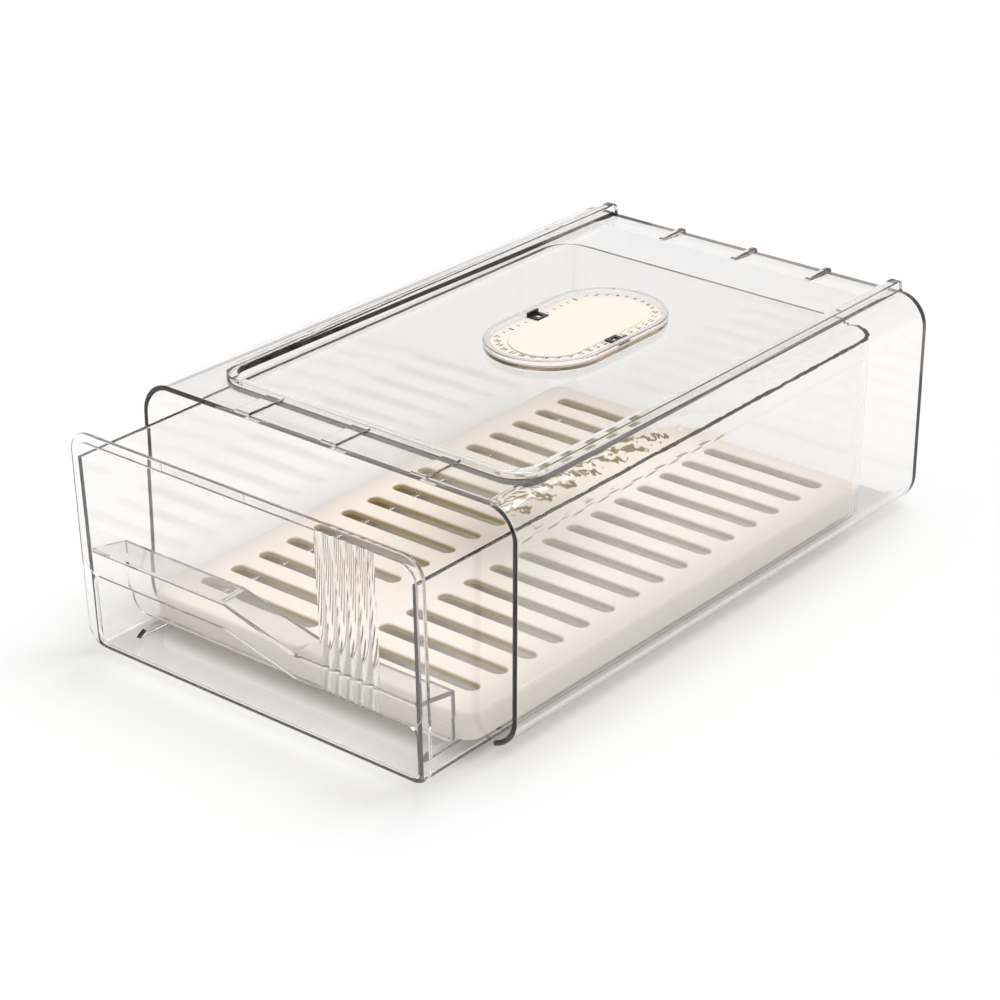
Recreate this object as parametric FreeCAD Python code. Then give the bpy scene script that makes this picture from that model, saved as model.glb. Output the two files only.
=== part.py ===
"""Clear fridge drawer organizer, built in millimetres with +Z up and the drawer's front towards -Y.

While it is being built, depth is counted from the casing's open mouth: Y = 0 there, growing
towards the back. At the end every piece is moved so that the whole object is centred over
the origin, with its underside at Z = 0.
"""
import FreeCAD, Part
import math
import os

Vector = FreeCAD.Vector

# thin seam left between two clear pieces that are fixed to each other
seam_gap = 0.05

# ---- casing: the outer sleeve -----------------------------------------------------------
casing_width = 200.0
casing_length = 294.0
casing_front_height = 106.5
casing_fall = 3.5
casing_wall = 2.3
casing_corner = 14.8
casing_back_edge_round = 1.2
casing_mouth_round = 0.7
casing_back_height = casing_front_height - casing_fall

floor_notch_side_margin = 11.3
floor_notch_slope = 2.8
floor_notch_depth = 9.5

# ---- raised rim and recessed panel on the casing's top -----------------------------------
top_centre_x = 3.3
rim_side_margin = 17.2
rim_side_thickness = 5.2
rim_front_outer = 20.8
rim_front_inner = 24.5
rim_outer_corner = 14.0
rim_inner_corner = 10.3
rim_rise = 1.4
rim_edge_round = 0.7
rim_end_round = 3.0
panel_under_round = 1.6
panel_thickness = 2.4
rim_top = casing_front_height + rim_rise
panel_level = casing_back_height

back_strip_length = 18.0
back_strip_drop = 0.9
back_ramp_length = 9.5
back_rib_pitch = 41.0
back_rib_centre_x = 5.2
back_rib_width = 3.2
back_rib_height = 1.1
back_rib_round = 1.0
back_strip_start = casing_length - back_strip_length
back_ramp_end = back_strip_start + back_ramp_length

strap_pitch = 46.9
strap_centre_x = 4.3
strap_width = 8.0
strap_height = 1.0
strap_seat = 1.5
strap_edge_round = 0.4

# ---- date dial ---------------------------------------------------------------------------
dial_centre_x = 3.5
dial_to_back = 133.1
cup_half_length = 48.1
cup_half_width = 27.9
cup_height = 3.9
cup_wall = 2.6
cup_floor = 0.9
cup_edge_round = 0.6
plate_side_gap = 0.3
plate_thickness = 0.6
oval_half_length = 37.2
oval_half_width = 17.7
oval_raise = 0.7
oval_edge_round = 0.4
dial_centre_depth = casing_length - dial_to_back
cup_seat = panel_level + seam_gap
cup_top = cup_seat + cup_height
plate_seat = cup_seat + cup_floor
plate_top = plate_seat + plate_thickness

# ---- date pointers -----------------------------------------------------------------------
pointer_length = 7.2
pointer_reach = 6.8
pointer_thickness = 0.8
pointer_leg = 1.0
pointer_leg_height = 2.2
pointer_wall_gap = 0.4
pointer_window_length = 3.4
pointer_window_reach = 3.2

# ---- drawer tub --------------------------------------------------------------------------
drawer_out = 47.4
drawer_wall = 2.2
drawer_floor = 2.0
slide_gap = 0.2
tub_side_gap = 7.5
tub_side_lean = 0.9
tub_back_gap = 20.7
tub_back_lean = 0.8
tub_headroom = 13.5
tub_back_corner = 16.0
tub_bottom_round = 3.4
tub_inner_bottom_round = 1.6
tub_edge_round = 0.7
tub_underside = casing_wall + slide_gap
tub_floor_top = tub_underside + drawer_floor
tub_top = casing_front_height - casing_wall - tub_headroom
tub_top_width = casing_width - 2 * (casing_wall + tub_side_gap)
tub_bottom_width = tub_top_width - 2 * tub_side_lean
tub_back_top = casing_length - casing_wall - tub_back_gap
tub_back_bottom = tub_back_top - tub_back_lean

# ---- drawer front ------------------------------------------------------------------------
front_flange = 3.55
front_rise = 11.4
front_thickness = 1.8
front_lean = math.degrees(math.atan(0.038))
front_top_corner = 10.0
front_bottom_corner = 10.0
front_edge_round = 0.6
front_width = tub_top_width + 2 * front_flange
front_top = tub_top + front_rise

panel_side_margin = 2.85
panel_top_margin = 3.7
panel_raise = 0.8
panel_corner = 8.0
panel_edge_round = 0.4
panel_width = front_width - 2 * panel_side_margin
panel_top = front_top - panel_top_margin

lip_left_level = 37.0
lip_right_level = 27.4
lip_slope_left = -13.0
lip_slope_right = 26.0

mouth_side_margin = 0.5
mouth_corner = 4.0
mouth_width = tub_top_width - 2 * (drawer_wall + mouth_side_margin)

ledge_left_level = 49.6
ledge_right_level = 39.3
ledge_left_fall = 5.2
ledge_right_fall = 4.2
ledge_slope_left = -12.9
ledge_slope_right = 23.5
ledge_skew_left = -7.9
ledge_skew_right = -2.9
ledge_fold = 6.0
ledge_edge_round = 1.2
ledge_thickness = 2.2
ledge_width = tub_bottom_width - 2 * drawer_wall

curtain_depth = 21.8
curtain_thickness = 2.2
curtain_bottom = 11.2
curtain_corner = 8.0
curtain_right_corner = 3.0
curtain_foot_height = 12.0
curtain_edge_round = 0.9
curtain_foot_top = curtain_bottom + curtain_foot_height

reed_count = 6
reed_pitch = 5.7
reed_first_x = 41.15
reed_depth = 0.7
reed_strip_left = 40.3
reed_strip_right = 70.7

tick_positions = (-41.2, 3.5)
tick_width = 0.7
tick_raise = 0.5

# ---- drain tray --------------------------------------------------------------------------
tray_side_gap = 0.5
tray_front_gap = 12.6
tray_back_gap = 4.0
tray_height = 11.7
tray_skin = 2.6
tray_corner = 8.0
tray_edge_round = 2.3
tray_end_margin = 5.0
tray_spine_height = 6.0
tray_width = tub_bottom_width - 2 * (drawer_wall + tray_side_gap)
tray_front = -drawer_out + curtain_depth + tray_front_gap
tray_back = tub_back_bottom - drawer_wall - tray_back_gap

slot_count = 15
slot_front_margin = 19.7
slot_back_margin = 15.5
slot_width = 7.0
slot_edge_round = 0.8
slot_inner_x = 10.0
slot_side_margin = 12.6
slot_outer_x = tray_width / 2 - slot_side_margin
slot_first_depth = tray_front + slot_front_margin
slot_pitch = (tray_back - slot_back_margin - slot_first_depth) / (slot_count - 1)

# ---- rails on the drawer's floor, under the tray -----------------------------------------
rail_side_margin = 8.6
rail_width = 2.4
rail_height = 2.4
rail_nose_run = 16.5
rail_nose_slope = 3.9
rail_back_margin = 2.0
rail_centre = tray_width / 2 - rail_side_margin
rail_nose_depth = -drawer_out + rail_nose_run
rail_end_depth = tray_back - rail_back_margin
tray_rest = tub_floor_top + rail_height

# how far a cutting solid runs past what it cuts
cut_margin = 1.0


def flat(level):
    """Turns outline points into points on the level plane at this height."""
    return lambda across, along: Vector(across, along, level)


def upright(depth):
    """Turns outline points into points on the vertical plane at this depth."""
    return lambda across, height: Vector(across, depth, height)


def outline(corners, place):
    """Closed outline from corners (across, along, radius), each corner rounded by its radius."""
    edges = []
    starts = []
    ends = []
    middles = []
    count = len(corners)
    for index in range(count):
        across, along, radius = corners[index]
        here = Vector(across, along, 0)
        before = Vector(corners[index - 1][0], corners[index - 1][1], 0)
        after = Vector(corners[(index + 1) % count][0], corners[(index + 1) % count][1], 0)
        to_before = (before - here).normalize()
        to_after = (after - here).normalize()
        half_angle = to_before.getAngle(to_after) / 2
        inward = (to_before + to_after).normalize()
        reach = radius / math.tan(half_angle)
        starts.append(here + to_before * reach)
        ends.append(here + to_after * reach)
        middles.append(here + inward * (radius / math.sin(half_angle) - radius))
    for index in range(count):
        start = place(starts[index].x, starts[index].y)
        end = place(ends[index].x, ends[index].y)
        if corners[index][2] > 0:
            middle = place(middles[index].x, middles[index].y)
            edges.append(Part.Arc(start, middle, end).toShape())
        following = starts[(index + 1) % count]
        next_start = place(following.x, following.y)
        if (next_start - end).Length > 0.001:
            edges.append(Part.makeLine(end, next_start))
    return Part.Wire(edges)


def rectangle(left, right, low, high, low_radius, high_radius):
    """Corners of an upright or level rectangle with its own radius at each end."""
    return [
        (left, low, low_radius),
        (right, low, low_radius),
        (right, high, high_radius),
        (left, high, high_radius),
    ]


def slab(corners, low, high):
    """Solid that stands on the outline between two heights."""
    return Part.Face(outline(corners, flat(low))).extrude(Vector(0, 0, high - low))


def sheet(corners, front, back):
    """Solid that stands upright between two depths."""
    return Part.Face(outline(corners, upright(front))).extrude(Vector(0, back - front, 0))


def box(left, right, front, back, low, high):
    """Plain block between six planes."""
    block = Part.makeBox(right - left, back - front, high - low)
    block.translate(Vector(left, front, low))
    return block


def side_profile(points, left, right):
    """Solid with this side view, given as (depth, height) points, between two X planes."""
    corners = [Vector(left, depth, height) for depth, height in points]
    corners.append(corners[0])
    return Part.Face(Part.makePolygon(corners)).extrude(Vector(right - left, 0, 0))


def racetrack(half_length, half_width, low, high):
    """Solid whose plan has straight sides along Y and half-round ends, centred on the dial."""
    left = dial_centre_x - half_width
    right = dial_centre_x + half_width
    front = dial_centre_depth - half_length + half_width
    back = dial_centre_depth + half_length - half_width
    edges = [
        Part.makeLine(Vector(right, front, low), Vector(right, back, low)),
        Part.Arc(
            Vector(right, back, low),
            Vector(dial_centre_x, back + half_width, low),
            Vector(left, back, low),
        ).toShape(),
        Part.makeLine(Vector(left, back, low), Vector(left, front, low)),
        Part.Arc(
            Vector(left, front, low),
            Vector(dial_centre_x, front - half_width, low),
            Vector(right, front, low),
        ).toShape(),
    ]
    return Part.Face(Part.Wire(edges)).extrude(Vector(0, 0, high - low))


def edges_at_height(solid, level):
    """All edges that lie wholly at one height."""
    found = []
    for edge in solid.Edges:
        bounds = edge.BoundBox
        if abs(bounds.ZMin - level) < 0.001 and abs(bounds.ZMax - level) < 0.001:
            found.append(edge)
    return found


def edges_above(solid, level):
    """All edges that lie wholly above one height."""
    found = []
    for edge in solid.Edges:
        if edge.BoundBox.ZMin > level:
            found.append(edge)
    return found


def edges_at_depth(solid, depth):
    """All edges that lie wholly at one depth."""
    found = []
    for edge in solid.Edges:
        bounds = edge.BoundBox
        if abs(bounds.YMin - depth) < 0.001 and abs(bounds.YMax - depth) < 0.001:
            found.append(edge)
    return found


# ---- casing ------------------------------------------------------------------------------
def casing_top_at(depth):
    """Height of the casing's outside top, which falls evenly from front to back."""
    return casing_front_height - casing_fall * depth / casing_length


def casing_section(depth, inset):
    """Cross-section of the casing at one depth, drawn in from the outside by the inset."""
    half_width = casing_width / 2 - inset
    radius = casing_corner - inset
    corners = rectangle(-half_width, half_width, inset, casing_top_at(depth) - inset, radius, radius)
    return outline(corners, upright(depth))


def casing_body():
    """Tapered sleeve, closed at the back and open at the front."""
    outside = Part.makeLoft([casing_section(0, 0), casing_section(casing_length, 0)], True, True)
    back_edges = edges_at_depth(outside, casing_length)
    outside = outside.makeFillet(casing_back_edge_round, back_edges)
    inner_back = casing_length - casing_wall
    sections = [casing_section(-cut_margin, casing_wall), casing_section(inner_back, casing_wall)]
    sleeve = outside.cut(Part.makeLoft(sections, True, True))
    return sleeve.makeFillet(casing_mouth_round, edges_at_depth(sleeve, 0))


def rim_block():
    """Block that becomes the raised rim and the panel inside it."""
    half_width = casing_width / 2 - rim_side_margin
    corners = rectangle(
        top_centre_x - half_width,
        top_centre_x + half_width,
        rim_front_outer,
        casing_length,
        rim_outer_corner,
        0,
    )
    underside = panel_level - panel_thickness
    block = slab(corners, underside, rim_top)
    return block.makeFillet(panel_under_round, edges_at_height(block, underside))


def rim_recess():
    """Space inside the rim, above the panel and above the strip that falls away behind it."""
    half_width = casing_width / 2 - rim_side_margin - rim_side_thickness
    left = top_centre_x - half_width
    right = top_centre_x + half_width
    back = casing_length + cut_margin
    corners = rectangle(left, right, rim_front_inner, back, rim_inner_corner, 0)
    above_panel = slab(corners, panel_level, rim_top + cut_margin)
    strip_level = panel_level - back_strip_drop
    points = [
        (back_strip_start, panel_level),
        (back_ramp_end, strip_level),
        (back, strip_level),
        (back, rim_top),
        (back_strip_start, rim_top),
    ]
    return above_panel.fuse(side_profile(points, left, right))


def rim():
    """Raised rim and the panel inside it, the rim's back ends and top edges rounded."""
    raised = rim_block().cut(rim_recess())
    ends = []
    for edge in edges_at_depth(raised, casing_length):
        if abs(edge.BoundBox.ZMin - rim_top) < 0.001:
            ends.append(edge)
    raised = raised.makeFillet(rim_end_round, ends)
    tops = []
    for edge in edges_at_height(raised, rim_top):
        if edge.BoundBox.YMin < casing_length - rim_end_round - 0.001:
            tops.append(edge)
    return raised.makeFillet(rim_edge_round, tops)


def strap(centre):
    """Low flat bar from the casing's front edge to the rim."""
    back = rim_front_outer + strap_seat
    points = [
        (0, casing_top_at(0) - strap_seat),
        (back, casing_top_at(back) - strap_seat),
        (back, casing_top_at(back) + strap_height),
        (0, casing_top_at(0) + strap_height),
    ]
    bar = side_profile(points, centre - strap_width / 2, centre + strap_width / 2)
    return bar.makeFillet(strap_edge_round, edges_above(bar, casing_top_at(back)))


def back_rib(centre):
    """Narrow rib across the strip behind the panel."""
    low = panel_level - panel_thickness / 2
    high = panel_level + back_rib_height
    left = centre - back_rib_width / 2
    right = centre + back_rib_width / 2
    rib = box(left, right, back_strip_start, casing_length, low, high)
    return rib.makeFillet(back_rib_round, edges_at_height(rib, high))


def floor_notch():
    """Shallow cut across the front edge of the casing's floor."""
    mouth_half = casing_width / 2 - floor_notch_side_margin
    inner_half = mouth_half - floor_notch_slope
    outer_half = mouth_half + floor_notch_slope * cut_margin / floor_notch_depth
    corners = [
        (-outer_half, -cut_margin, 0),
        (outer_half, -cut_margin, 0),
        (inner_half, floor_notch_depth, 0),
        (-inner_half, floor_notch_depth, 0),
    ]
    return slab(corners, -cut_margin, casing_wall + cut_margin)


def casing_shell():
    """The outer sleeve with its rim, panel, straps and ribs, as one moulding."""
    shell = casing_body().cut(rim_recess()).fuse(rim())
    for step in (-1, 0, 1):
        shell = shell.fuse(strap(strap_centre_x + step * strap_pitch))
        shell = shell.fuse(back_rib(back_rib_centre_x + step * back_rib_pitch))
    return shell.cut(floor_notch()).removeSplitter()


# ---- date dial ---------------------------------------------------------------------------
def dial_cup():
    """Clear shallow cup that stands on the casing's panel."""
    outside = racetrack(cup_half_length, cup_half_width, cup_seat, cup_top)
    outside = outside.makeFillet(cup_edge_round, edges_at_height(outside, cup_top))
    inside = racetrack(
        cup_half_length - cup_wall,
        cup_half_width - cup_wall,
        plate_seat,
        cup_top + cut_margin,
    )
    return outside.cut(inside)


def dial_plate():
    """Plate in the cup: a low ring for the numbers around a raised centre."""
    ring = racetrack(
        cup_half_length - cup_wall - plate_side_gap,
        cup_half_width - cup_wall - plate_side_gap,
        plate_seat,
        plate_top,
    )
    centre = racetrack(oval_half_length, oval_half_width, plate_seat, plate_top + oval_raise)
    centre = centre.makeFillet(oval_edge_round, edges_at_height(centre, plate_top + oval_raise))
    return ring.fuse(centre).removeSplitter()


def date_pointer(side):
    """Windowed saddle on the number ring, its leg against the cup's long side (+1 right, -1 left)."""
    wall_x = cup_half_width - cup_wall - pointer_wall_gap
    front = -pointer_length / 2
    back = pointer_length / 2
    saddle = box(wall_x - pointer_reach, wall_x, front, back, 0, pointer_thickness)
    leg = box(wall_x - pointer_leg, wall_x, front, back, 0, pointer_leg_height)
    window_right = wall_x - pointer_leg - (pointer_reach - pointer_leg - pointer_window_reach) / 2
    window = box(
        window_right - pointer_window_reach,
        window_right,
        -pointer_window_length / 2,
        pointer_window_length / 2,
        -cut_margin,
        pointer_thickness + cut_margin,
    )
    pointer = saddle.fuse(leg).cut(window).removeSplitter()
    if side < 0:
        pointer = pointer.mirror(Vector(0, 0, 0), Vector(1, 0, 0))
    pointer.translate(Vector(dial_centre_x, dial_centre_depth, plate_top))
    return pointer


# ---- drawer tub --------------------------------------------------------------------------
def tub_section(level, width, back, corner):
    """Plan outline of the tub at one height, running forward past the drawer's front."""
    front = -drawer_out - front_thickness
    corners = rectangle(-width / 2, width / 2, front, back, 0, corner)
    return outline(corners, flat(level))


def tub_outside():
    """Outside of the tub, its sides leaning out a little towards the top."""
    sections = [
        tub_section(tub_underside, tub_bottom_width, tub_back_bottom, tub_back_corner),
        tub_section(tub_top, tub_top_width, tub_back_top, tub_back_corner),
    ]
    outside = Part.makeLoft(sections, True, True)
    front = -drawer_out - front_thickness
    bottom = []
    for edge in edges_at_height(outside, tub_underside):
        if edge.BoundBox.YMax > front + cut_margin:
            bottom.append(edge)
    return outside.makeFillet(tub_bottom_round, bottom)


def tub_inside():
    """Hollow of the tub, open upwards."""
    corner = tub_back_corner - drawer_wall
    side_slope = tub_side_lean / (tub_top - tub_underside)
    back_slope = tub_back_lean / (tub_top - tub_underside)
    low_width = tub_bottom_width + 2 * side_slope * drawer_floor - 2 * drawer_wall
    high_width = tub_top_width + 2 * side_slope * cut_margin - 2 * drawer_wall
    low_back = tub_back_bottom + back_slope * drawer_floor - drawer_wall
    high_back = tub_back_top + back_slope * cut_margin - drawer_wall
    sections = [
        tub_section(tub_floor_top, low_width, low_back, corner),
        tub_section(tub_top + cut_margin, high_width, high_back, corner),
    ]
    hollow = Part.makeLoft(sections, True, True)
    front = -drawer_out - front_thickness
    bottom = []
    for edge in edges_at_height(hollow, tub_floor_top):
        if edge.BoundBox.YMax > front + cut_margin:
            bottom.append(edge)
    return hollow.makeFillet(tub_inner_bottom_round, bottom)


def tray_rail(side):
    """Low rib on the tub's floor that carries the tray, with a sloped front end."""
    points = [
        (rail_nose_depth, tub_floor_top - drawer_floor / 2),
        (rail_nose_depth, tub_floor_top),
        (rail_nose_depth + rail_nose_slope, tray_rest),
        (rail_end_depth, tray_rest),
        (rail_end_depth, tub_floor_top - drawer_floor / 2),
    ]
    centre = side * rail_centre
    return side_profile(points, centre - rail_width / 2, centre + rail_width / 2)


def lean_back(shape):
    """Leans a piece of the drawer's front so that its foot stands further back than its top."""
    shape.rotate(Vector(0, -drawer_out, front_top), Vector(1, 0, 0), front_lean)
    return shape


def space_ahead_of_tub():
    """Everything in front of the plane where the tub meets the back of the drawer's front."""
    half_width = casing_width / 2
    front = -drawer_out - 10 * front_thickness
    back = -drawer_out + front_thickness + seam_gap
    block = box(-half_width, half_width, front, back, -front_top, 2 * front_top)
    return lean_back(block)


def drawer_tub():
    """Floor, side walls and back wall of the drawer, with the two rails for the tray."""
    tub = tub_outside().cut(tub_inside())
    front = -drawer_out - front_thickness
    rims = []
    for edge in edges_at_height(tub, tub_top):
        if edge.BoundBox.YMax > front + cut_margin:
            rims.append(edge)
    tub = tub.makeFillet(tub_edge_round, rims)
    for side in (-1, 1):
        tub = tub.fuse(tray_rail(side))
    return tub.cut(space_ahead_of_tub()).removeSplitter()


# ---- drawer front ------------------------------------------------------------------------
def front_plate():
    """Rounded face plate of the drawer."""
    half_width = front_width / 2
    corners = rectangle(
        -half_width,
        half_width,
        tub_underside,
        front_top,
        front_bottom_corner,
        front_top_corner,
    )
    plate = sheet(corners, -drawer_out, -drawer_out + front_thickness)
    rims = edges_at_depth(plate, -drawer_out) + edges_at_depth(plate, -drawer_out + front_thickness)
    return plate.makeFillet(front_edge_round, rims)


def raised_panel():
    """Panel that stands a little proud of the face plate and ends in the stepped lip."""
    half_width = panel_width / 2
    corners = [
        (-half_width, lip_left_level, panel_corner),
        (lip_slope_left, lip_left_level, panel_corner),
        (lip_slope_right, lip_right_level, panel_corner),
        (half_width, lip_right_level, panel_corner),
        (half_width, panel_top, panel_corner),
        (-half_width, panel_top, panel_corner),
    ]
    front = -drawer_out - panel_raise
    panel = sheet(corners, front, -drawer_out + front_thickness / 2)
    return panel.makeFillet(panel_edge_round, edges_at_depth(panel, front))


def finger_mouth():
    """Opening below the lip, where fingers reach in."""
    half_width = mouth_width / 2
    corners = [
        (-half_width, tub_floor_top, mouth_corner),
        (half_width, tub_floor_top, mouth_corner),
        (half_width, lip_right_level, mouth_corner),
        (lip_slope_right, lip_right_level, panel_corner),
        (lip_slope_left, lip_left_level, panel_corner),
        (-half_width, lip_left_level, mouth_corner),
    ]
    front = -drawer_out - panel_raise - cut_margin
    back = -drawer_out + front_thickness + cut_margin
    return sheet(corners, front, back)


def stepped_edge(fall, drop):
    """Stepped line of the ledge from left to right.

    It is lowered by the drop, and by its share of the ledge's fall and skew towards the back.
    """
    half_width = ledge_width / 2
    left_level = ledge_left_level - fall * ledge_left_fall - drop
    right_level = ledge_right_level - fall * ledge_right_fall - drop
    return [
        (-half_width, left_level, 0),
        (ledge_slope_left + fall * ledge_skew_left, left_level, ledge_fold),
        (ledge_slope_right + fall * ledge_skew_right, right_level, ledge_fold),
        (half_width, right_level, 0),
    ]


def ledge_section(depth, fall):
    """Cross-section of the ledge at one depth, with its share of the fall towards the back."""
    upper = stepped_edge(fall, 0)
    lower = stepped_edge(fall, ledge_thickness)
    lower.reverse()
    return outline(upper + lower, upright(depth))


def finger_ledge():
    """Shelf behind the panel that closes the finger space from above and falls to the back."""
    front = -drawer_out + front_thickness / 2
    back = -drawer_out + curtain_depth
    return Part.makeLoft([ledge_section(front, 0), ledge_section(back, 1)], True, True)


def finger_curtain():
    """Upper part of the wall that hangs from the ledge's back edge."""
    half_width = ledge_width / 2
    upper = stepped_edge(1, 0)
    lower = [(half_width, curtain_foot_top, 0), (-half_width, curtain_foot_top, 0)]
    back = -drawer_out + curtain_depth
    return sheet(upper + lower, back - curtain_thickness, back)


def curtain_foot():
    """Lower part of that wall, its edge rounded on both faces, which stops short of the floor."""
    half_width = ledge_width / 2
    corners = [
        (half_width, curtain_foot_top, 0),
        (half_width, curtain_bottom, curtain_right_corner),
        (-half_width, curtain_bottom, curtain_corner),
        (-half_width, curtain_foot_top, 0),
    ]
    back = -drawer_out + curtain_depth
    foot = sheet(corners, back - curtain_thickness, back)
    rims = []
    for edge in edges_at_depth(foot, back) + edges_at_depth(foot, back - curtain_thickness):
        if edge.BoundBox.ZMin < curtain_foot_top - 0.01:
            rims.append(edge)
    return foot.makeFillet(curtain_edge_round, rims)


def finger_hook():
    """Ledge and curtain in one, with a rounded bend between them."""
    hook = finger_ledge().fuse(finger_curtain()).removeSplitter()
    back = -drawer_out + curtain_depth
    level = ledge_right_level - ledge_right_fall - ledge_thickness
    bend = []
    for edge in edges_at_depth(hook, back):
        if edge.BoundBox.ZMin > level and edge.BoundBox.XLength > 0.01:
            bend.append(edge)
    return hook.makeFillet(ledge_edge_round, bend).fuse(curtain_foot()).removeSplitter()


def reed_strip_space():
    """Space sunk into the panel's face for the reeds."""
    front = -drawer_out - panel_raise - cut_margin
    back = -drawer_out - panel_raise + reed_depth
    low = lip_right_level - cut_margin
    return box(reed_strip_left, reed_strip_right, front, back, low, panel_top)


def reed(number):
    """Upright half-round reed whose crest is level with the panel's face."""
    centre = reed_first_x + number * reed_pitch
    half = reed_pitch / 2
    radius = (half ** 2 + reed_depth ** 2) / (2 * reed_depth)
    front = -drawer_out - panel_raise
    low = lip_right_level
    rod = Part.makeCylinder(radius, panel_top - low, Vector(centre, front + radius, low))
    left = max(centre - half, reed_strip_left)
    right = min(centre + half, reed_strip_right)
    return rod.common(box(left, right, front, front + reed_depth, low, panel_top))


def front_tick(centre):
    """Hairline rib between the top of the face plate and the panel."""
    half = tick_width / 2
    front = -drawer_out - tick_raise
    back = -drawer_out + front_thickness / 2
    return box(centre - half, centre + half, front, back, panel_top, front_top - front_edge_round)


def drawer_front():
    """Face plate, raised panel, finger mouth, ledge and curtain, as one moulding."""
    face = front_plate().fuse(raised_panel()).cut(finger_mouth())
    face = face.cut(reed_strip_space())
    for number in range(reed_count):
        face = face.fuse(reed(number))
    for centre in tick_positions:
        face = face.fuse(front_tick(centre))
    return lean_back(face.fuse(finger_hook()).removeSplitter())


# ---- drain tray --------------------------------------------------------------------------
def tray_body():
    """Upturned shallow box with rounded corners."""
    top = tray_rest + tray_height
    half_width = tray_width / 2
    outer = rectangle(-half_width, half_width, tray_front, tray_back, tray_corner, tray_corner)
    outside = slab(outer, tray_rest, top)
    outside = outside.makeFillet(tray_edge_round, edges_at_height(outside, top))
    inner_corner = tray_corner - tray_skin
    inner = rectangle(
        -half_width + tray_skin,
        half_width - tray_skin,
        tray_front + tray_skin,
        tray_back - tray_skin,
        inner_corner,
        inner_corner,
    )
    return outside.cut(slab(inner, tray_rest - cut_margin, top - tray_skin))


def tray_runner(side):
    """Rib under the tray that stands on the rail of the drawer's floor."""
    centre = side * rail_centre
    left = centre - tray_skin / 2
    right = centre + tray_skin / 2
    front = tray_front + tray_skin / 2
    back = tray_back - tray_end_margin
    return box(left, right, front, back, tray_rest, tray_rest + tray_height - tray_skin / 2)


def tray_spine():
    """Shallow stiffening rib down the middle of the tray's underside."""
    top = tray_rest + tray_height - tray_skin / 2
    low = top - tray_spine_height
    front = tray_front + tray_skin / 2
    back = tray_back - tray_skin / 2
    return box(-tray_skin / 2, tray_skin / 2, front, back, low, top)


def drain_slot(number, side):
    """Slot across one half of the tray, with round ends."""
    centre = slot_first_depth + number * slot_pitch
    half = slot_width / 2
    left = min(side * slot_inner_x, side * slot_outer_x)
    right = max(side * slot_inner_x, side * slot_outer_x)
    low = tray_rest + tray_height - tray_skin - cut_margin
    high = tray_rest + tray_height + cut_margin
    middle = box(left + half, right - half, centre - half, centre + half, low, high)
    near_end = Part.makeCylinder(half, high - low, Vector(left + half, centre, low))
    far_end = Part.makeCylinder(half, high - low, Vector(right - half, centre, low))
    return middle.fuse(near_end).fuse(far_end)


def drain_tray():
    """Slotted tray that lifts out of the drawer."""
    tray = tray_body().fuse(tray_spine())
    slots = []
    for side in (-1, 1):
        tray = tray.fuse(tray_runner(side))
        for number in range(slot_count):
            slots.append(drain_slot(number, side))
    tray = tray.cut(Part.makeCompound(slots)).removeSplitter()
    rims = []
    for edge in edges_at_height(tray, tray_rest + tray_height):
        if edge.BoundBox.XLength < slot_outer_x and edge.BoundBox.YLength < slot_width + 0.01:
            rims.append(edge)
    return tray.makeFillet(slot_edge_round, rims)


# ---- all pieces --------------------------------------------------------------------------
def export_pieces(pieces):
    """Centres the whole object over the origin and writes one file for each piece."""
    bounds = FreeCAD.BoundBox()
    for shape in pieces.values():
        bounds.add(shape.optimalBoundingBox(False, False))
    centring = Vector(0, -(bounds.YMin + bounds.YMax) / 2, 0)
    os.makedirs("parts", exist_ok=True)
    for name, shape in pieces.items():
        shape.translate(centring)
        shape.exportStep("parts/" + name + ".step")


export_pieces({
    "casing_shell": casing_shell(),
    "dial_cup": dial_cup(),
    "dial_plate": dial_plate(),
    "date_pointer_left": date_pointer(-1),
    "date_pointer_right": date_pointer(1),
    "drawer_tub": drawer_tub(),
    "drawer_front": drawer_front(),
    "drain_tray": drain_tray(),
})
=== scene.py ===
"""Fridge drawer organizer: a clear casing, a clear drawer with a cream drain tray, a date dial."""

import math

import bpy
import numpy as np
from mathutils import Matrix, Vector


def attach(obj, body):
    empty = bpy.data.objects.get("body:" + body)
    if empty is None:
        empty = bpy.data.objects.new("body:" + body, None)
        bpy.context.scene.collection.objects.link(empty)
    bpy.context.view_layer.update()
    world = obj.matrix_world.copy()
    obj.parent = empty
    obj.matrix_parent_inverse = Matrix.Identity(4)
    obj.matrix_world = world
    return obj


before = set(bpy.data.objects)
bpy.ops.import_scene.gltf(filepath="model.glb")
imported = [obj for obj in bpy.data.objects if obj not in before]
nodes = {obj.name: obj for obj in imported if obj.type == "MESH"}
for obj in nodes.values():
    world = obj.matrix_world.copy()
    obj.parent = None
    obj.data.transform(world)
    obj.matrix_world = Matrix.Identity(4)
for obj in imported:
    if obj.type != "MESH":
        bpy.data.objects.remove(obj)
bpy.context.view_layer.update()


# ---- camera --------------------------------------------------------------------------------
CAMERA_PLACE = (0.699977, -0.869903, 0.5707735)
CAMERA_RIGHT = (0.77510548, 0.63183087, 0.00111831)
CAMERA_UP = (-0.27408312, 0.33463868, 0.90160712)
CAMERA_AHEAD = (-0.56928898, 0.69914712, -0.43255445)
CAMERA_LENS_MM = 102.310
CAMERA_SENSOR_MM = 36.0
CAMERA_NEAREST = 0.05
CAMERA_FARTHEST = 50.0


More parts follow.
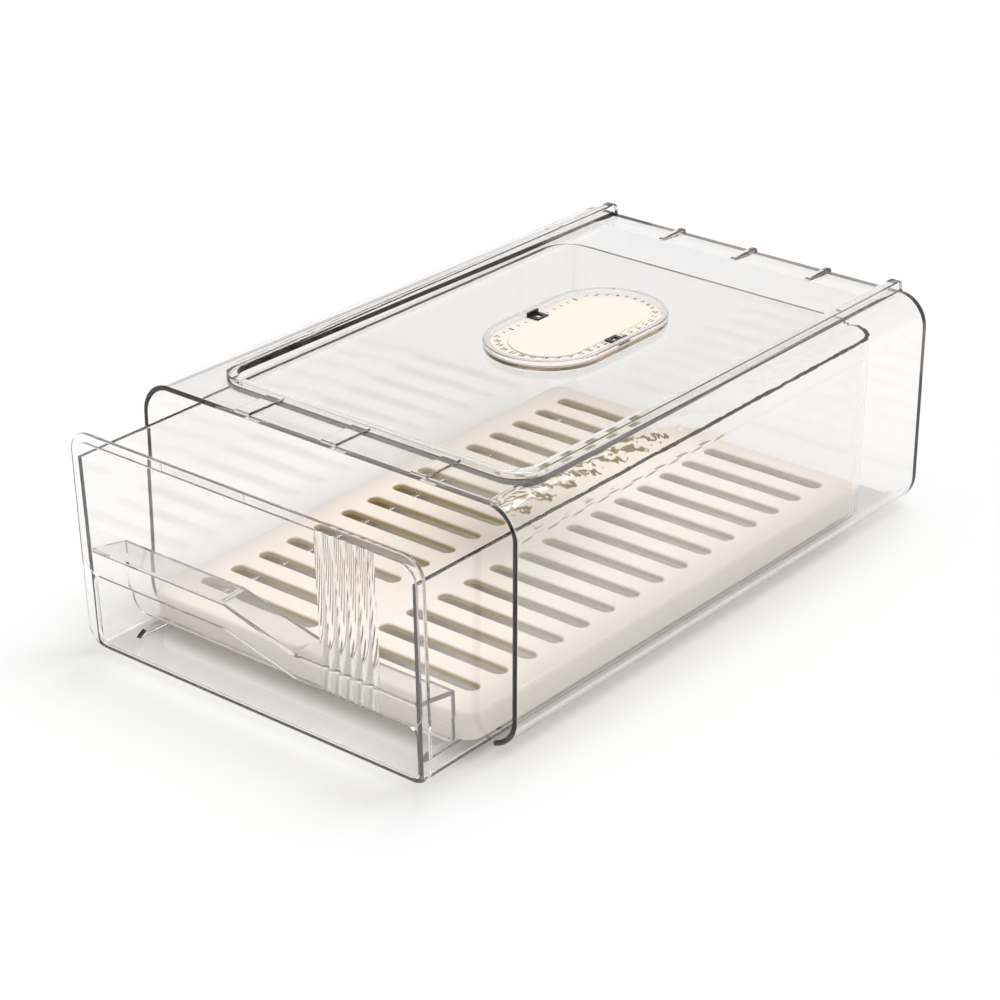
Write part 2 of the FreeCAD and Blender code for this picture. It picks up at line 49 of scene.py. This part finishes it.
def make_camera():
    """Camera that stands to the right of the drawer's front and looks down at the object."""
    data = bpy.data.cameras.new("camera")
    data.sensor_width = CAMERA_SENSOR_MM
    data.lens = CAMERA_LENS_MM
    data.clip_start = CAMERA_NEAREST
    data.clip_end = CAMERA_FARTHEST
    camera = bpy.data.objects.new("camera", data)
    bpy.context.scene.collection.objects.link(camera)
    turn = Matrix((CAMERA_RIGHT, CAMERA_UP, [-x for x in CAMERA_AHEAD])).transposed().to_4x4()
    camera.matrix_world = Matrix.Translation(CAMERA_PLACE) @ turn
    bpy.context.scene.camera = camera


# ---- nodes of a shader ---------------------------------------------------------------------
WHITE = "#FFFFFF"
BLACK = "#000000"


def linear(colour):
    """Linear RGBA from an sRGB hex string: each channel through the sRGB curve."""
    values = []
    for start in (1, 3, 5):
        part = int(colour[start : start + 2], 16) / 255
        values.append(part / 12.92 if part <= 0.04045 else ((part + 0.055) / 1.055) ** 2.4)
    return (*values, 1.0)


def add(tree, kind, settings=None, inputs=None):
    """Adds one node: settings are its own properties, inputs are socket values or links."""
    node = tree.nodes.new(kind)
    for name, value in (settings or {}).items():
        setattr(node, name, value)
    for name, value in (inputs or {}).items():
        if isinstance(value, bpy.types.NodeSocket):
            tree.links.new(value, node.inputs[name])
        else:
            node.inputs[name].default_value = value
    return node


def calculate(tree, operation, *values):
    """Result of one Math node."""
    inputs = dict(enumerate(values))
    return add(tree, "ShaderNodeMath", {"operation": operation}, inputs).outputs[0]


def mix_colours(tree, factor, first, second):
    """Colour between two colours."""
    inputs = {"Factor": factor, "A": first, "B": second}
    return add(tree, "ShaderNodeMix", {"data_type": "RGBA"}, inputs).outputs["Result"]


def mix_shaders(tree, factor, first, second):
    """Shader between two shaders."""
    inputs = {0: factor, 1: first, 2: second}
    return add(tree, "ShaderNodeMixShader", None, inputs).outputs[0]


def noise(tree, place, scale, detail):
    """Noise value between 0 and 1 at a place."""
    inputs = {"Vector": place, "Scale": scale, "Detail": detail}
    return add(tree, "ShaderNodeTexNoise", None, inputs).outputs["Fac"]


def bump(tree, height, strength, distance):
    """Normal tilted by the slope of a height."""
    inputs = {"Strength": strength, "Distance": distance, "Height": height}
    return add(tree, "ShaderNodeBump", None, inputs).outputs["Normal"]


def inside_box(tree, place, low, high):
    """1 where the object's own coordinates lie between two corners, else 0."""
    split = add(tree, "ShaderNodeSeparateXYZ", None, {"Vector": place})
    inside = None
    for axis, least, most in zip("XYZ", low, high):
        near = calculate(
            tree, "COMPARE", split.outputs[axis], (least + most) / 2, (most - least) / 2
        )
        inside = near if inside is None else calculate(tree, "MULTIPLY", inside, near)
    return inside


def new_material(name):
    """Empty node material and its tree."""
    material = bpy.data.materials.new(name)
    material.use_nodes = True
    material.node_tree.nodes.clear()
    return material, material.node_tree


# ---- materials -----------------------------------------------------------------------------
CLEAR_IOR = 1.5
CLEAR_ROUGHNESS = 0.012
BODY_COLOUR = "#8A6F64"
BODY_DENSITY = 10.0
LAMP_SHARE = "#FFFFFE"
GRAZING_SHARE = "#8F8B88"
GRAZING_POWER = 4.0
FLOW_SCALE = 22.0
FLOW_DETAIL = 1.0
FLOW_STRENGTH = 0.25
FLOW_DEPTH = 0.0004

OPAQUE_IOR = 1.49
CLOUD_SCALE = 30.0
CLOUD_DETAIL = 3.0
GRAIN_DETAIL = 2.0
GRAIN_STRENGTH = 0.5
MILKY_WEIGHT = 0.2
MILKY_REACH = (1.0, 0.7, 0.4)


def clear_plastic(name):
    """Clear moulded plastic: a dielectric with a faint warm grey body and slight flow waves.

    Lamps and bounced light reach what is behind it through a Transparent shader. Its colour
    falls from LAMP_SHARE to GRAZING_SHARE as (1 - cos a) ** GRAZING_POWER, a being the angle
    to the surface's normal.
    """
    material, tree = new_material(name)
    coords = add(tree, "ShaderNodeTexCoord")
    flow = noise(tree, coords.outputs["Object"], FLOW_SCALE, FLOW_DETAIL)
    glass = add(
        tree,
        "ShaderNodeBsdfPrincipled",
        None,
        {
            "Base Color": linear(WHITE),
            "Roughness": CLEAR_ROUGHNESS,
            "IOR": CLEAR_IOR,
            "Transmission Weight": 1.0,
            "Normal": bump(tree, flow, FLOW_STRENGTH, FLOW_DEPTH),
        },
    )
    facing = add(tree, "ShaderNodeLayerWeight", None, {"Blend": 0.5})
    grazing = calculate(tree, "POWER", facing.outputs["Facing"], GRAZING_POWER)
    share = mix_colours(tree, grazing, linear(LAMP_SHARE), linear(GRAZING_SHARE))
    through = add(tree, "ShaderNodeBsdfTransparent", None, {"Color": share})
    path = add(tree, "ShaderNodeLightPath")
    carries_light = calculate(
        tree, "MAXIMUM", path.outputs["Is Shadow Ray"], path.outputs["Is Diffuse Ray"]
    )
    surface = mix_shaders(tree, carries_light, glass.outputs[0], through.outputs[0])
    body = {"Color": linear(BODY_COLOUR), "Density": BODY_DENSITY}
    absorb = add(tree, "ShaderNodeVolumeAbsorption", None, body)
    ends = {"Surface": surface, "Volume": absorb.outputs[0]}
    add(tree, "ShaderNodeOutputMaterial", None, ends)
    return material


def opaque_plastic(name, colours, roughness, grain_mm, bump_mm, depth_mm=0.0, painted_shade=None):
    """Opaque moulded plastic: even colour with a faint cloudiness and a fine mould grain.

    The depth is how far red light wanders under the surface, which warms edges and shadows.
    The last setting is a painted shade: a colour with two corners, which fills the box between
    them.
    """
    material, tree = new_material(name)
    coords = add(tree, "ShaderNodeTexCoord")
    place = coords.outputs["Object"]
    cloud = noise(tree, place, CLOUD_SCALE, CLOUD_DETAIL)
    colour = mix_colours(tree, cloud, linear(colours[0]), linear(colours[1]))
    # painted shade: a darker, warmer colour fills the box, where the tray's hollow lies in shade
    if painted_shade is not None:
        shade_colour, low, high = painted_shade
        inside = inside_box(tree, place, low, high)
        colour = mix_colours(tree, inside, colour, linear(shade_colour))
    grain = noise(tree, place, 1000.0 / grain_mm, GRAIN_DETAIL)
    shader = add(
        tree,
        "ShaderNodeBsdfPrincipled",
        None,
        {
            "Base Color": colour,
            "Roughness": roughness,
            "IOR": OPAQUE_IOR,
            "Normal": bump(tree, grain, GRAIN_STRENGTH, bump_mm / 1000),
        },
    )
    if depth_mm > 0:
        shader.inputs["Subsurface Weight"].default_value = MILKY_WEIGHT
        shader.inputs["Subsurface Radius"].default_value = MILKY_REACH
        shader.inputs["Subsurface Scale"].default_value = depth_mm / 1000
    add(tree, "ShaderNodeOutputMaterial", None, {"Surface": shader.outputs[0]})
    return material


def dress(names, material):
    """Gives the named CAD nodes one material each."""
    for name in names:
        nodes[name].data.materials.clear()
        nodes[name].data.materials.append(material)


# body colour shows where light runs along a wall; walls seen face on stay clear
clear_polystyrene = clear_plastic("clear_polystyrene_moulded")
# same clearness as the shell, a separate slot so that the cup can be told apart
clear_acrylic = clear_plastic("clear_acrylic_moulded")
# soft low sheen and a milky warm body, as of an injection-moulded tray; painted tan shade inside
# its slots and under its top, for the warm light bounced in that hollow
SLOT_PAINTED_SHADE = ("#E2CEA4", (-0.080, -0.131, 0.0), (0.080, 0.136, 0.0178))
cream_polypropylene = opaque_plastic(
    "cream_polypropylene_moulded",
    colours=("#FBEBDE", "#FEF4EA"),
    roughness=0.42,
    grain_mm=0.8,
    bump_mm=0.02,
    depth_mm=4.0,
    painted_shade=SLOT_PAINTED_SHADE,
)
# finer and whiter than the tray, with the gentle sheen of a small hard plate
cream_abs = opaque_plastic(
    "cream_abs_moulded", colours=("#F3EADC", "#F6EDE0"), roughness=0.38, grain_mm=0.8, bump_mm=0.01
)
# small glossy black pieces that catch a bright edge
black_abs = opaque_plastic(
    "black_abs_moulded", colours=("#0E0E0F", "#161617"), roughness=0.25, grain_mm=0.6, bump_mm=0.01
)
# thin matt print
black_ink = opaque_plastic(
    "black_printed_ink", colours=("#1A1918", "#242220"), roughness=0.5, grain_mm=0.3, bump_mm=0.002
)

dress(("casing_shell", "drawer_tub", "drawer_front"), clear_polystyrene)
dress(("dial_cup",), clear_acrylic)
dress(("drain_tray",), cream_polypropylene)
dress(("dial_plate",), cream_abs)
dress(("date_pointer_left", "date_pointer_right"), black_abs)


# ---- studio --------------------------------------------------------------------------------
WORLD_LIGHT = 0.60
MIRRORED_SKY = "#F8F8F8"
BENT_SKY = "#786F6A"
WHITE_BELOW, BAND_FROM, BAND_TO, WHITE_ABOVE = 0.04, 0.25, 0.6, 0.8

FLOOR_HALF = 3.0
FLOOR_LEVEL = -0.0004
FLOOR_COLOUR = "#F1F1F1"
FLOOR_GLOW = 0.06

LAMP_TOWARD = (0.1, 0.5, 1.0)
LAMP_SPREAD_DEGREES = 40
LAMP_STRENGTH = 1.8


def sky(tree, colour, strength):
    """Background shader of one colour and strength."""
    return add(tree, "ShaderNodeBackground", None, {"Color": colour, "Strength": strength})


def banded_sky(tree, height, band_colour):
    """White surroundings with a darker band part of the way up, by the height of a direction."""
    bands = add(tree, "ShaderNodeValToRGB", None, {"Fac": height})
    ramp = bands.color_ramp
    ramp.elements[0].position = WHITE_BELOW
    ramp.elements[0].color = linear(WHITE)
    ramp.elements[1].position = BAND_FROM
    ramp.elements[1].color = linear(band_colour)
    ramp.elements.new(BAND_TO).color = linear(band_colour)
    ramp.elements.new(WHITE_ABOVE).color = linear(WHITE)
    return sky(tree, bands.outputs[0], 1.0)


def make_world():
    """Even light, with a banded sky for mirrored and bent rays and plain white behind it all."""
    world = bpy.data.worlds.new("studio")
    bpy.context.scene.world = world
    world.use_nodes = True
    tree = world.node_tree
    tree.nodes.clear()
    path = add(tree, "ShaderNodeLightPath")
    coords = add(tree, "ShaderNodeTexCoord")
    split = add(tree, "ShaderNodeSeparateXYZ", None, {"Vector": coords.outputs["Generated"]})
    height = split.outputs["Z"]
    light = sky(tree, linear(WHITE), WORLD_LIGHT)
    mirrored = banded_sky(tree, height, MIRRORED_SKY)
    bent = banded_sky(tree, height, BENT_SKY)
    background = sky(tree, linear(WHITE), 1.0)
    seen = light.outputs[0]
    for ray, shader in (
        ("Is Glossy Ray", mirrored),
        ("Is Transmission Ray", bent),
        ("Is Camera Ray", background),
    ):
        seen = mix_shaders(tree, path.outputs[ray], seen, shader.outputs[0])
    add(tree, "ShaderNodeOutputWorld", None, {"Surface": seen})


def floor_paper():
    """White paper that glows a little when it is looked at, and lights nothing by it."""
    material, tree = new_material("white_paper_backdrop")
    paper = add(tree, "ShaderNodeBsdfDiffuse", None, {"Color": linear(FLOOR_COLOUR)})
    glow = add(
        tree, "ShaderNodeEmission", None, {"Color": linear(WHITE), "Strength": FLOOR_GLOW}
    )
    dark = add(tree, "ShaderNodeEmission", None, {"Color": linear(BLACK), "Strength": 0.0})
    path = add(tree, "ShaderNodeLightPath")
    first = calculate(
        tree, "MAXIMUM", path.outputs["Is Camera Ray"], path.outputs["Is Glossy Ray"]
    )
    looked_at = calculate(tree, "MAXIMUM", first, path.outputs["Is Transmission Ray"])
    lift = mix_shaders(tree, looked_at, dark.outputs[0], glow.outputs[0])
    total = add(tree, "ShaderNodeAddShader", None, {0: paper.outputs[0], 1: lift})
    add(tree, "ShaderNodeOutputMaterial", None, {"Surface": total.outputs[0]})
    return material


def make_floor():
    """Pale floor just under the object, which keeps its shadow."""
    turns = ((-1, -1), (1, -1), (1, 1), (-1, 1))
    corners = [(x * FLOOR_HALF, y * FLOOR_HALF, FLOOR_LEVEL) for x, y in turns]
    mesh = bpy.data.meshes.new("studio_floor")
    mesh.from_pydata(corners, [], [(0, 1, 2, 3)])
    floor = bpy.data.objects.new("studio_floor", mesh)
    bpy.context.scene.collection.objects.link(floor)
    mesh.materials.append(floor_paper())


def make_lamp():
    """Wide even lamp above, a little behind the object, with a soft-edged shadow."""
    data = bpy.data.lights.new("lamp_above", "SUN")
    data.angle = math.radians(LAMP_SPREAD_DEGREES)
    data.energy = LAMP_STRENGTH
    lamp = bpy.data.objects.new("lamp_above", data)
    lamp.rotation_euler = Vector(LAMP_TOWARD).to_track_quat("Z", "Y").to_euler()
    bpy.context.scene.collection.objects.link(lamp)


# ---- print on the date dial ----------------------------------------------------------------
# mm; x across, y back from the casing's front edge, which lies FRONT_TO_ZERO ahead of zero
FRONT_TO_ZERO = 122.97
PRINT_LEVEL = 104.55
INK_THICKNESS = 0.06
INK_MIDDLE = PRINT_LEVEL + INK_THICKNESS / 2
NUMBER_HEIGHT = 2.2
TEXT_SIZE_PER_HEIGHT = 1.4
TICK_X = -18.0
TICK_FIRST = 137.5
TICK_STEP = 5.0
TICK_COUNT = 11
BOLD_TICKS = (1, 10)
TICK_SIZE = (1.6, 0.4)
BOLD_TICK_SIZE = (2.4, 0.9)
NUMBER_PLACES = (
    (1, -16.6, 193.7), (2, -13.8, 197.7), (3, -10.5, 201.0), (4, -6.3, 203.3),
    (5, -2.2, 204.7), (6, 2.3, 205.0), (7, 6.7, 204.2), (8, 10.8, 203.0),
    (9, 14.5, 201.0), (10, 18.1, 197.8), (11, 21.0, 193.5), (12, 22.7, 188.8),
    (13, 23.1, 183.7), (14, 23.3, 178.3), (15, 23.4, 172.7), (16, 23.0, 167.8),
    (17, 23.0, 161.0), (18, 22.9, 154.9), (19, 22.7, 150.0), (20, 22.5, 145.1),
    (21, 22.1, 140.1), (22, 20.1, 134.8), (23, 16.9, 130.2), (24, 13.2, 126.6),
    (25, 8.8, 123.9), (26, 3.9, 122.4), (27, -1.0, 122.0), (28, -6.3, 123.1),
    (29, -10.9, 125.4), (30, -14.4, 128.3), (31, -17.5, 132.2),
)


def mm(*values):
    """Metres from millimetres."""
    return tuple(value / 1000 for value in values)


def on_dial(x, y):
    """Middle of the ink at a place on the dial, in metres."""
    return np.array(mm(x, y - FRONT_TO_ZERO, INK_MIDDLE))


def printed_number(text, x, y):
    """Points and faces of a flat number with its middle at x, y."""
    curve = bpy.data.curves.new("number", "FONT")
    curve.body = text
    curve.size = NUMBER_HEIGHT / 1000 * TEXT_SIZE_PER_HEIGHT
    curve.align_x = "CENTER"
    curve.align_y = "CENTER"
    curve.extrude = INK_THICKNESS / 2000
    holder = bpy.data.objects.new("number", curve)
    bpy.context.scene.collection.objects.link(holder)
    bpy.context.view_layer.update()
    depsgraph = bpy.context.evaluated_depsgraph_get()
    mesh = bpy.data.meshes.new_from_object(holder.evaluated_get(depsgraph))
    points = np.empty(len(mesh.vertices) * 3)
    mesh.vertices.foreach_get("co", points)
    faces = [tuple(face.vertices) for face in mesh.polygons]
    bpy.data.objects.remove(holder)
    bpy.data.curves.remove(curve)
    bpy.data.meshes.remove(mesh)
    return points.reshape(-1, 3) + on_dial(x, y), faces


def printed_bar(size, x, y):
    """Points and faces of a flat bar: the unit box stretched to its size, middle at x, y."""
    ends = (-0.5, 0.5)
    unit = np.array([(i, j, k) for k in ends for j in ends for i in ends])
    faces = [(0, 2, 3, 1), (4, 5, 7, 6), (0, 1, 5, 4), (2, 6, 7, 3), (0, 4, 6, 2), (1, 3, 7, 5)]
    return unit * np.array(mm(*size, INK_THICKNESS)) + on_dial(x, y), faces


def print_piece(name, marks):
    """One piece of ink that rides the casing, made of the points and faces of its marks."""
    all_points = []
    all_faces = []
    offset = 0
    for points, faces in marks:
        all_points.append(points)
        all_faces += [tuple(i + offset for i in face) for face in faces]
        offset += len(points)
    mesh = bpy.data.meshes.new(name)
    mesh.from_pydata(np.concatenate(all_points).tolist(), [], all_faces)
    mesh.materials.append(black_ink)
    piece = bpy.data.objects.new(name, mesh)
    bpy.context.scene.collection.objects.link(piece)
    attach(piece, "casing")


def tick(index):
    """Points and faces of one bar on the left straight, between the last and first number."""
    size = BOLD_TICK_SIZE if index in BOLD_TICKS else TICK_SIZE
    return printed_bar(size, TICK_X, TICK_FIRST + index * TICK_STEP)


# ---- the whole scene -----------------------------------------------------------------------
# light that runs inside a clear wall is mirrored many times before it leaves
MIRRORINGS = 64
CLEAR_LAYERS = 32

make_camera()
make_world()
make_floor()
make_lamp()
print_piece("dial_numbers", [printed_number(str(day), x, y) for day, x, y in NUMBER_PLACES])
print_piece("dial_ticks", [tick(index) for index in range(TICK_COUNT)])
bpy.context.scene.view_settings.view_transform = "Standard"
bpy.context.scene.cycles.max_bounces = MIRRORINGS
bpy.context.scene.cycles.glossy_bounces = MIRRORINGS
bpy.context.scene.cycles.transmission_bounces = MIRRORINGS
bpy.context.scene.cycles.transparent_max_bounces = CLEAR_LAYERS
